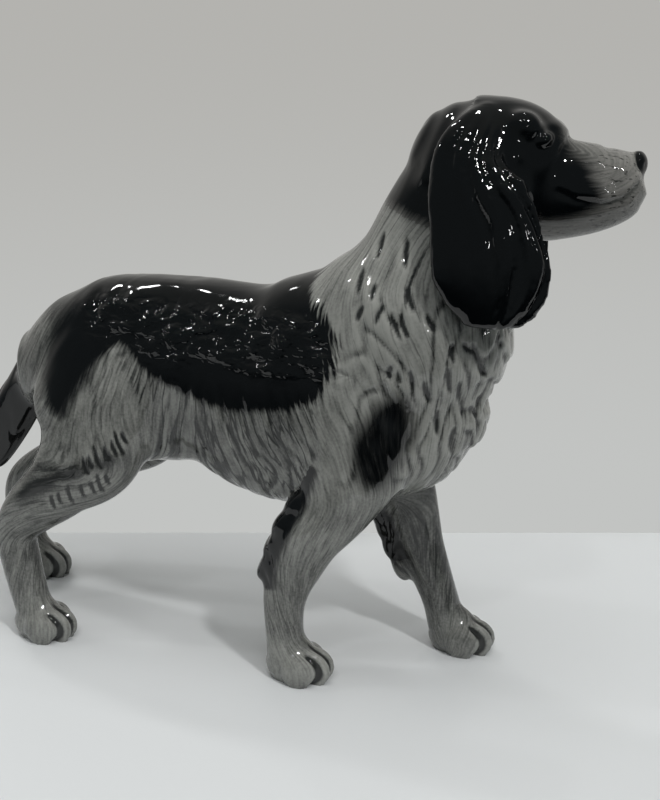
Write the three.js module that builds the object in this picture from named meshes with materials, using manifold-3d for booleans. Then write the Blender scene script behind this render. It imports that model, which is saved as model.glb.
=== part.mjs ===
// A standing spaniel figurine in glazed porcelain, as the potter puts it together: a hollow slip-cast
// body and head, with solid-cast ears, legs and tail luted on with slip before one glaze covers them all.
// Millimetres. +X is the way the dog faces, +Y is its left and +Z is up. The paws stand on Z = 0.
import * as THREE from "three";
import { mergeVertices } from "three/addons/utils/BufferGeometryUtils.js";
import Module from "manifold-3d";

const wasm = await Module();
wasm.setup();
const { Manifold, Mesh: SolidMesh } = wasm;

// Casting and assembly
const WALL = 3.6; // thickness of the slip-cast wall
const LUTE_GAP = 0.3; // seam between two pieces, which the slip fills
const VENT_RADIUS = 1.8; // hole under the loin that lets the air out in the kiln

// Trunk
const BACK_HEIGHT = 99.3; // top of the loin above the shelf
const LOIN_HEIGHT = 48.8; // underside of the loin
const BRISKET_HEIGHT = 42.8; // lowest fringe of the chest
const RUMP_X = -58;
const CHEST_X = 61;
const HIP_HALF = 14;
const LOIN_HALF = 15.5;
const RIB_HALF = 19.5;

// Neck and head
const NECK_BASE_HALF = 18.5;
const THROAT_HALF = 12.5;
const THROAT_X = 56.5; // middle of the seam between the neck and the head
const THROAT_Z = 117.3;
const HEAD_TURN = THREE.MathUtils.degToRad(10); // the head looks a little to its left
const SKULL_TOP = 146.3;
const SKULL_HALF = 13.2;
const MUZZLE_HALF = 8;
const MUZZLE_LENGTH = 18;

// Ears and tail
const EAR_LENGTH = 44;
const EAR_FRONT = 13; // reach of the ear in front of and behind its middle line
const EAR_BACK = 12.4;
const EAR_THICK = 5.6;
const TAIL_LENGTH = 50;
const TAIL_THICK = 9;

// Legs
const FORE_STANCE = 14.9; // from the middle plane to the paw
const HIND_STANCE = 17.6;
const RIGHT_FORE_X = 23.8; // middle of each paw
const LEFT_FORE_X = 58.6;
const RIGHT_HIND_X = -50;
const LEFT_HIND_X = -73;
const FORE_BONE = 4.8; // half width of the foreleg above the wrist
const HIND_BONE = 4.4; // half width of the hind leg below the hock
const FORE_SEAM = 41; // height of the seam where a foreleg is luted on
const HIND_SEAM = 40;
const PAW_LENGTH = 16.5;
const PAW_WIDTH = 12.8;
const PAW_HEIGHT = 12.6;
const FEATHER_LOCKS = 4; // locks of long hair down the back of a foreleg
const LEFT_FEATHER_DROP = 0.05; // how much lower they sit on the forward leg, as a share of it

const ROAN = new THREE.MeshStandardMaterial({ color: 0x6f706b, roughness: 0.12, metalness: 0 });
const BLACK = new THREE.MeshStandardMaterial({ color: 0x0a0c0e, roughness: 0.08, metalness: 0 });

// Solids

function solidOf(geometry) {
  const bare = geometry.clone();
  bare.deleteAttribute("normal");
  bare.deleteAttribute("uv");
  const merged = mergeVertices(bare, 1e-4);
  return new Manifold(
    new SolidMesh({
      numProp: 3,
      vertProperties: new Float32Array(merged.attributes.position.array),
      triVerts: new Uint32Array(merged.index.array),
    }),
  );
}

function meshOf(name, solid, material) {
  const { vertProperties, triVerts } = solid.getMesh();
  const geometry = new THREE.BufferGeometry();
  geometry.setAttribute("position", new THREE.BufferAttribute(new Float32Array(vertProperties), 3));
  geometry.setIndex(new THREE.BufferAttribute(new Uint32Array(triVerts), 1));
  geometry.computeVertexNormals();
  const mesh = new THREE.Mesh(geometry, material);
  mesh.name = name;
  return mesh;
}

const joined = (solids) => solids.reduce((a, b) => a.add(b));

// Everything on the far side of a plane, to trim a solid with.
function beyond(point, normal, offset = 0) {
  const size = 400;
  const block = new THREE.BoxGeometry(size, size, size).translate(0, 0, size / 2 + offset);
  const turn = new THREE.Quaternion().setFromUnitVectors(new THREE.Vector3(0, 0, 1), normal);
  return block.applyQuaternion(turn).translate(point.x, point.y, point.z);
}

// A rounded swelling, such as a brow, a lip or a toe.
function swelling([x, y, z], [along, across, high], { tilt = 0, detail = 10 } = {}) {
  const ball = new THREE.SphereGeometry(1, detail, Math.round(detail * 0.7));
  return ball.scale(along, across, high).rotateY(tilt).translate(x, y, z);
}

// Skins lofted round a spine
// A station is [x, y, z, side, plus, minus]: the middle of a section, its half width across the dog,
// and its reach to either side of the spine. "plus" is the top of the trunk and of the head, the nape
// of the neck, the front of a leg and of an ear, and the underside of the tail.

function between(values, index) {
  const last = values.length - 1;
  const at = Math.min(Math.floor(index), last - 1);
  const t = index - at;
  const [a, b, c, d] = [at - 1, at, at + 1, at + 2].map((i) => values[THREE.MathUtils.clamp(i, 0, last)]);
  return b + 0.5 * t * (c - a + t * (2 * a - 5 * b + 4 * c - d + t * (3 * (b - c) + d - a)));
}

function sectionAt(stations, share) {
  const last = stations.length - 1;
  const at = (s) => stations[0].map((_, k) => between(stations.map((row) => row[k]), s * last));
  const behind = at(Math.max(share - 0.01, 0));
  const ahead = at(Math.min(share + 0.01, 1));
  const spine = new THREE.Vector3(ahead[0] - behind[0], ahead[1] - behind[1], ahead[2] - behind[2]).normalize();
  const across = new THREE.Vector3(0, 1, 0).addScaledVector(spine, -spine.y).normalize();
  const up = new THREE.Vector3().crossVectors(spine, across);
  const [x, y, z, side, plus, minus] = at(share);
  return { middle: new THREE.Vector3(x, y, z), spine, across, up, side, plus, minus };
}

// The closed skin has a dome at each end. relief(share, angle) raises it, and grow swells it all over.
function skin(stations, { rings, sides, power = 2, domes = [1, 1], grow = 0, relief = () => 0 }) {
  const domeRings = 3;
  const positions = [];
  const indices = [];
  const tips = [];
  const squared = (v) => Math.sign(v) * Math.abs(v) ** (2 / power);
  for (let i = -domeRings; i <= rings + domeRings; i++) {
    const share = THREE.MathUtils.clamp(i / rings, 0, 1);
    const over = Math.max(-i, i - rings, 0) / domeRings;
    const s = sectionAt(stations, share);
    const reach = i < 0 ? -domes[0] - grow : domes[1] + grow;
    s.middle.addScaledVector(s.spine, reach * Math.sin((over * Math.PI) / 2));
    if (over === 1) {
      tips.push(s.middle);
      continue;
    }
    const shrink = Math.cos((over * Math.PI) / 2);
    for (let j = 0; j < sides; j++) {
      const angle = (2 * Math.PI * j) / sides;
      const bump = grow + relief(share, angle);
      const wide = squared(Math.cos(angle)) * (s.side + bump) * shrink;
      const high = squared(Math.sin(angle)) * ((Math.sin(angle) > 0 ? s.plus : s.minus) + bump) * shrink;
      const point = s.middle.clone().addScaledVector(s.across, wide).addScaledVector(s.up, high);
      positions.push(...point);
    }
  }
  const hoops = positions.length / 3 / sides;
  tips.forEach((tip) => positions.push(...tip));
  for (let j = 0; j < sides; j++) {
    const next = (j + 1) % sides;
    for (let i = 0; i < hoops - 1; i++) {
      const [a, b] = [i * sides + j, i * sides + next];
      indices.push(a, b, b + sides, a, b + sides, a + sides);
    }
    const end = hoops * sides;
    indices.push(end, next, j);
    indices.push(end + 1, end - sides + j, end - sides + next);
  }
  const geometry = new THREE.BufferGeometry();
  geometry.setAttribute("position", new THREE.Float32BufferAttribute(positions, 3));
  geometry.setIndex(indices);
  return geometry;
}

const inset = (stations, wall) => stations.map(([x, y, z, ...reach]) => [x, y, z, ...reach.map((r) => r - wall)]);

// Trunk, given as top and bottom lines seen from the side

const fromProfile = (rows) =>
  rows.map(([x, top, bottom, half]) => [x, 0, (top + bottom) / 2, half, (top - bottom) / 2, (top - bottom) / 2]);

const trunk = fromProfile([
  [RUMP_X, BACK_HEIGHT - 17, LOIN_HEIGHT + 12, HIP_HALF - 5],
  [RUMP_X + 10, BACK_HEIGHT - 7.6, LOIN_HEIGHT + 4, HIP_HALF],
  [RUMP_X + 22, BACK_HEIGHT - 2.2, LOIN_HEIGHT - 0.8, LOIN_HALF],
  [RUMP_X + 38, BACK_HEIGHT + 0.2, LOIN_HEIGHT + 0.6, LOIN_HALF],
  [RUMP_X + 52, BACK_HEIGHT, LOIN_HEIGHT + 2.2, LOIN_HALF + 1.5],
  [CHEST_X - 50, BACK_HEIGHT + 0.6, BRISKET_HEIGHT + 1.2, RIB_HALF - 1],
  [CHEST_X - 35, BACK_HEIGHT + 4.4, BRISKET_HEIGHT - 0.2, RIB_HALF],
  [CHEST_X - 21, BACK_HEIGHT + 2.7, BRISKET_HEIGHT + 2.2, RIB_HALF - 0.5],
  [CHEST_X - 10, BACK_HEIGHT - 4, BRISKET_HEIGHT + 8.4, RIB_HALF - 4.5],
  [CHEST_X - 1.6, BACK_HEIGHT - 11, BRISKET_HEIGHT + 19.2, RIB_HALF - 8.5],
]);

// Scalloped fringe along the brisket, and combed hair that slants down the flank.
function coat(share, angle) {
  const under = Math.max(-Math.sin(angle), 0);
  const fringe = 0.9 * under ** 4 * Math.sin(share * 56);
  const combed = 0.35 * under * Math.abs(Math.cos(angle)) * Math.sin(share * 42 + angle * 5);
  return THREE.MathUtils.smoothstep(share, 0.15, 0.35) * (fringe + combed);
}

const TRUNK_SKIN = { rings: 31, sides: 26, power: 2.25, domes: [4, 6.6], relief: coat };

// Neck and ruff

const neck = [
  [THROAT_X - 18.5, 0, THROAT_Z - 36, NECK_BASE_HALF, 25.5, 24.4],
  [THROAT_X - 7.5, 0, THROAT_Z - 22, NECK_BASE_HALF - 0.5, 23.8, 25.2],
  [THROAT_X - 3, 0, THROAT_Z - 12, THROAT_HALF + 3, 20.2, 19],
  [THROAT_X, 0, THROAT_Z, THROAT_HALF, 16.7, 12.2],
  [THROAT_X + 3.5, 0, THROAT_Z + 11.5, THROAT_HALF - 1, 13.3, 9.5],
  [THROAT_X + 5.5, 0, THROAT_Z + 18, THROAT_HALF - 2, 10.6, 8],
];

// Staggered rows of locks round the ruff, smooth towards the nape and the skull.
function ruff(share, angle) {
  const frontal = (1 - Math.sin(angle)) / 2;
  const fade = 1 - THREE.MathUtils.smoothstep(share, 0.5, 0.7);
  return 0.75 * fade * frontal * Math.cos(angle * 7) * Math.sin(share * 34);
}

const NECK_SKIN = { rings: 20, sides: 24, power: 2.1, domes: [4, 4], relief: ruff };
const NECK_CORE = { rings: 7, sides: 14, power: 2.1, domes: [2, 2] };
const neckMiddle = new THREE.Vector3(THROAT_X, 0, THROAT_Z);
const neckLine = new THREE.Vector3(0.3, 0, 0.95).normalize();

// Head. Its frame turns on the neck: x = 0 is over the throat.

const headFrame = new THREE.Matrix4()
  .makeRotationZ(HEAD_TURN)
  .premultiply(new THREE.Matrix4().makeTranslation(THROAT_X, 0, 0));
const toHead = headFrame.clone().invert();

const STOP_X = 24; // where the forehead steps down to the muzzle
const skull = fromProfile([
  [-6.4, SKULL_TOP - 2.8, SKULL_TOP - 19, SKULL_HALF - 6.6],
  [-4, SKULL_TOP, SKULL_TOP - 24, SKULL_HALF - 3],
  [0, SKULL_TOP + 0.6, SKULL_TOP - 29, SKULL_HALF - 0.8],
  [7, SKULL_TOP + 0.3, SKULL_TOP - 32, SKULL_HALF],
  [13, SKULL_TOP - 0.7, SKULL_TOP - 33, SKULL_HALF - 0.8],
  [16.8, SKULL_TOP - 3.4, SKULL_TOP - 32.9, SKULL_HALF - 2.4],
  [STOP_X - 3.4, SKULL_TOP - 7.7, SKULL_TOP - 32.7, SKULL_HALF - 4.2],
  [STOP_X + 1, SKULL_TOP - 9, SKULL_TOP - 32, MUZZLE_HALF + 0.4],
  [STOP_X + 7, SKULL_TOP - 9.8, SKULL_TOP - 30.5, MUZZLE_HALF + 0.1],
  [STOP_X + MUZZLE_LENGTH - 6, SKULL_TOP - 10.1, SKULL_TOP - 28.2, MUZZLE_HALF - 0.2],
  [STOP_X + MUZZLE_LENGTH - 3, SKULL_TOP - 10.3, SKULL_TOP - 25, MUZZLE_HALF - 0.8],
  [STOP_X + MUZZLE_LENGTH - 1, SKULL_TOP - 11, SKULL_TOP - 22.2, MUZZLE_HALF - 2.2],
]);
const SKULL_SKIN = { rings: 24, sides: 22, power: 2.2, domes: [2.6, 1] };
const SKULL_CORE = { rings: 8, sides: 12, power: 2.2, domes: [1, 1] };

function face(grow) {
  const nose = STOP_X + MUZZLE_LENGTH - 0.6;
  const shapes = [swelling([nose, 0, SKULL_TOP - 14.5], [2.2, 3.4, 3])];
  for (const hand of [-1, 1]) {
    const brow = [STOP_X - 8.4, hand * (SKULL_HALF - 5.4), SKULL_TOP - 6];
    const eye = [STOP_X - 3.8, hand * (SKULL_HALF - 5), SKULL_TOP - 8.6];
    const lip = [STOP_X + 7.5, hand * (MUZZLE_HALF - 4.2), SKULL_TOP - 19.3];
    const cheek = [10, hand * (SKULL_HALF - 4.8), SKULL_TOP - 20];
    shapes.push(swelling(brow, [4.4, 3.6, 3.6]), swelling(eye, [2.2, 1.8, 2]));
    shapes.push(swelling(lip, [8.4, 5, 5], { tilt: 0.16 }));
    shapes.push(swelling(cheek, [9 + grow, 5.6 + grow, 8.5 + grow]));
  }
  return shapes;
}

// The head with the top of the neck, swollen by grow.
function headOutside(grow) {
  const neckTop = skin(neck, { ...NECK_SKIN, grow }).applyMatrix4(toHead);
  return joined([skin(skull, { ...SKULL_SKIN, grow }), ...face(grow), neckTop].map(solidOf));
}

function headSolid() {
  const inside = [skin(inset(skull.slice(1, 7), WALL), SKULL_CORE)];
  inside.push(skin(inset(neck.slice(1), WALL), NECK_CORE).applyMatrix4(toHead));
  const seam = beyond(neckMiddle, neckLine.clone().negate(), -LUTE_GAP).applyMatrix4(toHead);
  return headOutside(0).subtract(joined(inside.map(solidOf))).subtract(solidOf(seam));
}

// Ears

const earRow = (x, out, down, thin, front, back) => [
  x,
  out,
  SKULL_TOP - 5 - down * EAR_LENGTH,
  EAR_THICK / 2 - thin,
  front * EAR_FRONT,
  back * EAR_BACK,
];
const earShape = (hand) => [
  earRow(9, hand * (SKULL_HALF - 5.6), -0.06, 0.6, 0.2, 0.28),
  earRow(6.8, hand * (SKULL_HALF - 2.4), 0.05, 0, 0.42, 0.5),
  earRow(4.8, hand * (SKULL_HALF + 1), 0.17, 0, 0.6, 0.64),
  earRow(5.4, hand * (SKULL_HALF + 3.4), 0.31, 0, 0.8, 0.76),
  earRow(8.2, hand * (SKULL_HALF + 5), 0.5, 0, 0.96, 0.94),
  earRow(10.2, hand * (SKULL_HALF + 5.8), 0.7, 0, 1.03, 1),
  earRow(11.2, hand * (SKULL_HALF + 6), 0.87, 0.3, 0.89, 0.82),
  earRow(11.4, hand * (SKULL_HALF + 6), 0.97, 0.7, 0.58, 0.55),
];

// Long waved locks that run down the ear and deepen towards its lower edge.
const earLocks = (share, angle) =>
  0.5 * Math.sqrt(share) * Math.abs(Math.cos(angle)) * Math.sin(Math.sin(angle) * 9 + share * 4);

const EAR_SKIN = { rings: 15, sides: 16, domes: [1.5, 1.6], relief: earLocks };

const earSolid = (hand) => solidOf(skin(earShape(hand), EAR_SKIN)).subtract(headOutside(LUTE_GAP));

// Tail

const tailWay = new THREE.Vector3(-0.58, 0, -0.815).normalize();
const tailRoot = new THREE.Vector3(RUMP_X + 3.6, 0, BACK_HEIGHT - 21);
const tailRow = (share, side, under, over) => {
  const droop = 2.2 * Math.sin(share * Math.PI);
  const at = tailRoot.clone().addScaledVector(tailWay, share * TAIL_LENGTH);
  return [at.x, 0, at.z - droop, side, under, over];
};
const tail = [
  tailRow(0, TAIL_THICK / 2 + 0.8, 7, 5.6),
  tailRow(0.25, TAIL_THICK / 2 + 0.3, 6.8, 5.8),
  tailRow(0.5, TAIL_THICK / 2, 7, 6.4),
  tailRow(0.75, TAIL_THICK / 2 - 0.4, 6.6, 6),
  tailRow(0.93, TAIL_THICK / 2 - 1.2, 4.4, 3.8),
];
const tailLocks = (share, angle) => 0.5 * share * Math.sin(Math.sin(angle) * 7 + share * 7);
const TAIL_SKIN = { rings: 12, sides: 16, domes: [2, 2.6], relief: tailLocks };

// Legs, each from the shoulder or the hip to the paw

function foreleg(hand, pawX) {
  const swing = (x, share) => x + share * (pawX - RIGHT_FORE_X);
  const y = hand * FORE_STANCE;
  return [
    [swing(39, 0), hand * (FORE_STANCE - 8), 86, 6, 10, 9],
    [swing(38.5, 0), hand * (FORE_STANCE - 5.5), 75, 8.8, 15.5, 13.5],
    [swing(36, 0.05), hand * (FORE_STANCE - 3.5), 61, 8.6, 15, 11.5],
    [swing(32, 0.22), hand * (FORE_STANCE - 1.5), 49, 7, 10.6, 8.2],
    [swing(26.4, 0.47), y, 39.5, FORE_BONE + 1.2, 8.2, 7.5],
    [swing(22, 0.67), y, 30.5, FORE_BONE + 0.4, 7.2, 6.6],
    [swing(20, 0.84), y, 22, FORE_BONE, 5.4, 5.8],
    [swing(19.9, 0.94), y, 13.8, FORE_BONE + 0.1, 4.4, 5.2],
    [swing(20.5, 0.98), y, 6.8, FORE_BONE + 0.4, 4.8, 5.4],
  ];
}

function hindleg(hand, pawX) {
  const swing = (x, share) => x + share * (pawX - RIGHT_HIND_X);
  const y = hand * HIND_STANCE;
  return [
    [swing(-37, 0), hand * (HIND_STANCE - 11), 88.5, 5, 8, 7],
    [swing(-36, 0), hand * (HIND_STANCE - 8.5), 79, 8, 14.5, 12.5],
    [swing(-35, 0), hand * (HIND_STANCE - 6.5), 67, 9.3, 18, 17.2],
    [swing(-37, 0.02), hand * (HIND_STANCE - 4), 55, 8.6, 15.8, 13.6],
    [swing(-45, 0.16), hand * (HIND_STANCE - 1.5), 45.5, 7, 11, 7.8],
    [swing(-53, 0.56), y, 37.5, HIND_BONE + 1, 8.6, 6.2],
    [swing(-57.2, 0.84), y, 29.5, HIND_BONE + 0.2, 5.9, 6],
    [swing(-56.2, 0.97), y, 21, HIND_BONE, 5.4, 5.9],
    [swing(-54.6, 1), y, 13.4, HIND_BONE + 0.1, 4.9, 5.6],
    [swing(-53, 1), y, 6.8, HIND_BONE + 0.4, 4.8, 5.2],
  ];
}

const LEG_SKIN = { rings: 15, sides: 14, power: 2.1, domes: [5, 3] };

// A paw has four toes, the middle two longer, an instep that slopes down to them, and a flat pad.
function paw(x, y) {
  const pad = [0.43 * PAW_LENGTH, 0.42 * PAW_WIDTH, 0.46 * PAW_HEIGHT];
  const instep = [0.42 * PAW_LENGTH, 0.34 * PAW_WIDTH, 0.31 * PAW_HEIGHT];
  const shapes = [
    swelling([x - 0.13 * PAW_LENGTH, y, 0.3 * PAW_HEIGHT], pad),
    swelling([x - 0.04 * PAW_LENGTH, y, 0.58 * PAW_HEIGHT], instep, { tilt: 0.75 }),
  ];
  const toeWidth = PAW_WIDTH / 4;
  for (const place of [-1.5, -0.5, 0.5, 1.5]) {
    const outer = Math.abs(place) > 1;
    const forward = (outer ? 0.04 : 0.22) * PAW_LENGTH;
    const size = [(outer ? 0.28 : 0.31) * PAW_LENGTH, 0.74 * toeWidth, (outer ? 0.35 : 0.37) * PAW_HEIGHT];
    shapes.push(swelling([x + forward, y + 0.94 * place * toeWidth, 0.3 * PAW_HEIGHT], size, { tilt: 0.3, detail: 8 }));
  }
  return shapes;
}

// Feathering: tapered locks that overlap down the back of the forearm.
function feathering(stations, drop) {
  return Array.from({ length: FEATHER_LOCKS }, (_, i) => {
    const s = sectionAt(stations, 0.42 + drop + 0.07 * i);
    const at = s.middle.clone().addScaledVector(s.up, -s.minus);
    const tilt = Math.atan2(s.spine.x, s.spine.z) + 0.12;
    return swelling([at.x, at.y, at.z - 1.5], [2.7, s.side * 0.7, 5.4], { tilt, detail: 8 });
  });
}

function legWhole(stations, pawX, y, extra) {
  const shapes = [skin(stations, LEG_SKIN), ...paw(pawX, y), ...extra];
  return joined(shapes.map(solidOf));
}

const down = new THREE.Vector3(0, 0, -1);
const ground = solidOf(beyond(new THREE.Vector3(), down));

const legs = [
  { name: "foreleg_right", hand: -1, fore: true, x: RIGHT_FORE_X },
  { name: "foreleg_left", hand: 1, fore: true, x: LEFT_FORE_X },
  { name: "hindleg_right", hand: -1, fore: false, x: RIGHT_HIND_X },
  { name: "hindleg_left", hand: 1, fore: false, x: LEFT_HIND_X },
].map(({ name, hand, fore, x }) => {
  const stations = fore ? foreleg(hand, x) : hindleg(hand, x);
  const stance = hand * (fore ? FORE_STANCE : HIND_STANCE);
  const whole = legWhole(stations, x, stance, fore ? feathering(stations, hand > 0 ? LEFT_FEATHER_DROP : 0) : []);
  const seam = new THREE.Vector3(0, 0, fore ? FORE_SEAM : HIND_SEAM);
  const upper = whole.subtract(solidOf(beyond(seam, down)));
  const lower = whole.subtract(solidOf(beyond(seam, new THREE.Vector3(0, 0, 1), -LUTE_GAP))).subtract(ground);
  return { name, upper, lower };
});

// Torso

const CAVITY = { rings: 14, sides: 18, power: 2.25, domes: [3, 3] };

function torsoSolid() {
  const outside = [skin(trunk, TRUNK_SKIN), skin(neck, NECK_SKIN)].map(solidOf);
  const inside = [skin(inset(trunk.slice(1, -1), WALL + 0.8), CAVITY), skin(inset(neck, WALL + 0.8), NECK_CORE)];
  const vent = new THREE.CylinderGeometry(VENT_RADIUS, VENT_RADIUS, 2 * LOIN_HALF, 16).rotateX(Math.PI / 2);
  vent.translate(RUMP_X + 46, 0, LOIN_HEIGHT);
  const tailSeam = solidOf(skin(tail, { ...TAIL_SKIN, grow: LUTE_GAP }));
  return joined([...outside, ...legs.map((leg) => leg.upper)])
    .subtract(joined(inside.map(solidOf)))
    .subtract(solidOf(vent))
    .subtract(solidOf(beyond(neckMiddle, neckLine)))
    .subtract(tailSeam);
}

const figurine = new THREE.Group();
const headGroup = new THREE.Group();
headGroup.applyMatrix4(headFrame);
headGroup.add(
  meshOf("head", headSolid(), BLACK),
  meshOf("ear_right", earSolid(-1), BLACK.clone()),
  meshOf("ear_left", earSolid(1), BLACK.clone()),
);
const whole = new THREE.Group();
whole.add(
  meshOf("torso", torsoSolid(), ROAN),
  meshOf("tail", solidOf(skin(tail, TAIL_SKIN)), BLACK.clone()),
  ...legs.map(({ name, lower }) => meshOf(name, lower, ROAN.clone())),
  headGroup,
);

// The origin is on the shelf, under the middle of the figurine's bounding box.
const box = new THREE.Box3().setFromObject(whole, true);
const middle = box.getCenter(new THREE.Vector3());
whole.position.set(-middle.x, -middle.y, -box.min.z);
figurine.add(whole);

export default figurine;
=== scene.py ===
# A glazed porcelain spaniel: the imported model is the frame, and the nine cast pieces are dressed over it.
# Shapes are worked out in millimetres in the modelling frame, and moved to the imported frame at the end.
import math

import bpy
import numpy as np
from mathutils import Matrix, Vector


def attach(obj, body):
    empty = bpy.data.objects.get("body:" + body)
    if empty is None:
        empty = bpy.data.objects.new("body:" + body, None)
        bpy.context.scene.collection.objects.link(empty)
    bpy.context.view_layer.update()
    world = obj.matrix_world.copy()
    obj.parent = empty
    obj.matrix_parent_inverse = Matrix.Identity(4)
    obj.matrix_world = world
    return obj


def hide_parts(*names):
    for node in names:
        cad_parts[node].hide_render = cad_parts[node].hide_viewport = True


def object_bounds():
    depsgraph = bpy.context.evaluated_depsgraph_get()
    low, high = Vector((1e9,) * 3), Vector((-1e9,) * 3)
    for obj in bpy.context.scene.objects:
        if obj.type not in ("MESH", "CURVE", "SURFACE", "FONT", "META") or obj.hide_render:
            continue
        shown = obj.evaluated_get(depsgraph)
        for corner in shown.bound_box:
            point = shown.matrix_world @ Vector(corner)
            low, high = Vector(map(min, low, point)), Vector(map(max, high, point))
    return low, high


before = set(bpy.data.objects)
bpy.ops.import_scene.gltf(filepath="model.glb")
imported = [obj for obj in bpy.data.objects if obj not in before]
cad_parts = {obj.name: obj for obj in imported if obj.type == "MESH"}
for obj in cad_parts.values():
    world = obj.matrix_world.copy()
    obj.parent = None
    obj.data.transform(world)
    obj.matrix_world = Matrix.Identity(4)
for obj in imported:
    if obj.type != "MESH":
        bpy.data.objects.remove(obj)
cad_low, cad_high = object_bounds()

# Camera. It stands a little above the back on the dog's right, and looks down at 17 degrees and
# a fifth of the way round to its front, as the photograph does.

MM = 0.001
CENTRE_X = 7.52  # the middle of the bounding box, ahead of the modelling origin
LENS_MM = 58.28
LOOK_DOWN = math.radians(17.17)
LOOK_ROUND = math.radians(20.5)
EYE = np.array([135.15, -291.31, 166.75])

level_right = np.array([math.cos(LOOK_ROUND), math.sin(LOOK_ROUND), 0.0])
level_ahead = np.array([-math.sin(LOOK_ROUND), math.cos(LOOK_ROUND), 0.0])
view_ahead = level_ahead * math.cos(LOOK_DOWN) - np.array([0, 0, math.sin(LOOK_DOWN)])
view_up = level_ahead * math.sin(LOOK_DOWN) + np.array([0, 0, math.cos(LOOK_DOWN)])

camera_data = bpy.data.cameras.new("camera")
camera_data.lens = LENS_MM
camera_data.sensor_width = 36.0
camera_data.clip_start = 0.01
camera_data.clip_end = 20.0
camera = bpy.data.objects.new("camera", camera_data)
bpy.context.scene.collection.objects.link(camera)
turn = Matrix([level_right, view_up, -view_ahead]).transposed().to_4x4()
camera.matrix_world = Matrix.Translation(Vector((EYE - [CENTRE_X, 0, 0]) * MM)) @ turn
bpy.context.scene.camera = camera

# Trunk and neck. One hollow slip casting in the real figurine: sections carried along a spine,
# here as closed skins that are fused into one body of clay further down.


def unit(vectors):
    """Each row divided by its own length."""
    return vectors / np.maximum(np.linalg.norm(vectors, axis=-1, keepdims=True), 1e-12)


def between(rows, place):
    """Rows read at fractional places: a Catmull-Rom cubic through the four nearest rows."""
    rows = np.asarray(rows, float)
    last = len(rows) - 1
    at = np.clip(np.floor(place).astype(int), 0, last - 1)
    t = (place - at)[:, None]
    a, b, c, d = (rows[np.clip(at + k, 0, last)] for k in (-1, 0, 1, 2))
    return b + 0.5 * t * (c - a + t * (2 * a - 5 * b + 4 * c - d + t * (3 * (b - c) + d - a)))


def sections(stations, share):
    """Middle, spine, across and up directions and the three reaches of the section at each share."""
    last = len(stations) - 1
    rows = between(stations, share * last)
    ahead = between(stations, np.minimum(share + 0.01, 1) * last)
    behind = between(stations, np.maximum(share - 0.01, 0) * last)
    spine = unit(ahead[:, :3] - behind[:, :3])
    across = unit(np.array([0.0, 1.0, 0.0]) - spine * spine[:, 1:2])
    return rows[:, :3], spine, across, np.cross(spine, across), rows[:, 3:]


def closed_grid(points):
    """A grid of rings made a closed skin: quads between rings, and one face over each end ring."""
    rings, sides = points.shape[:2]
    i, j = np.meshgrid(np.arange(rings - 1), np.arange(sides), indexing="ij")
    a, b = i * sides + j, i * sides + (j + 1) % sides
    quads = np.stack([a, b, b + sides, a + sides], -1).reshape(-1, 4)
    ends = [list(range(sides))[::-1], list(range((rings - 1) * sides, rings * sides))]
    return points.reshape(-1, 3), quads, ends


def loft(stations, power=2.0, domes=(1.0, 1.0), rings=110, sides=96):
    """|a/side|^p + |b/reach|^p = 1 carried along the spine, with a quarter-sine dome at each end."""
    bow = np.linspace(0, np.pi / 2 - 0.06, 10)[1:]
    share = np.concatenate([np.zeros(9), np.linspace(0, 1, rings), np.ones(9)])
    over = np.concatenate([-bow[::-1], np.zeros(rings), bow])
    middle, spine, across, up, reach = sections(stations, share)
    out = np.where(over < 0, domes[0], domes[1]) * np.sin(over)
    angle = np.linspace(0, 2 * np.pi, sides, endpoint=False)
    cos, sin = np.cos(angle), np.sin(angle)
    wide = np.sign(cos) * np.abs(cos) ** (2 / power)
    high = np.sign(sin) * np.abs(sin) ** (2 / power)
    tall = np.where(sin > 0, reach[:, 1:2], reach[:, 2:3]) * high
    shrink = np.cos(over)[:, None, None]
    ring = across[:, None] * (reach[:, 0:1] * wide)[..., None] + up[:, None] * tall[..., None]
    return closed_grid((middle + spine * out[:, None])[:, None] + ring * shrink)


def from_profile(rows):
    """Stations of a level form from its top line, bottom line and half width."""
    return [[x, 0, (top + low) / 2, half, (top - low) / 2, (top - low) / 2] for x, top, low, half in rows]


BACK, LOIN, BRISKET = 99.3, 48.8, 42.8
RUMP, CHEST = -58, 61
HIP_HALF, LOIN_HALF, RIB_HALF = 14, 15.5, 19.5
TRUNK = from_profile([
    [RUMP, BACK - 17, LOIN + 12, HIP_HALF - 5],
    [RUMP + 10, BACK - 7.6, LOIN + 4, HIP_HALF],
    [RUMP + 22, BACK - 2.2, LOIN - 0.8, LOIN_HALF],
    [RUMP + 38, BACK + 0.2, LOIN + 0.6, LOIN_HALF],
    [RUMP + 52, BACK, LOIN + 2.2, LOIN_HALF + 1.5],
    [CHEST - 50, BACK + 0.6, BRISKET + 1.2, RIB_HALF - 1],
    [CHEST - 35, BACK + 4.4, BRISKET - 0.2, RIB_HALF],
    [CHEST - 21, BACK + 2.7, BRISKET + 2.2, RIB_HALF - 0.5],
    [CHEST - 10, BACK - 4, BRISKET + 8.4, RIB_HALF - 4.5],
    [CHEST - 1.6, BACK - 11, BRISKET + 19.2, RIB_HALF - 8.5],
])

THROAT_X, THROAT_Z, THROAT_HALF, NECK_HALF = 56.5, 117.3, 12.5, 18.5
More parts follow.
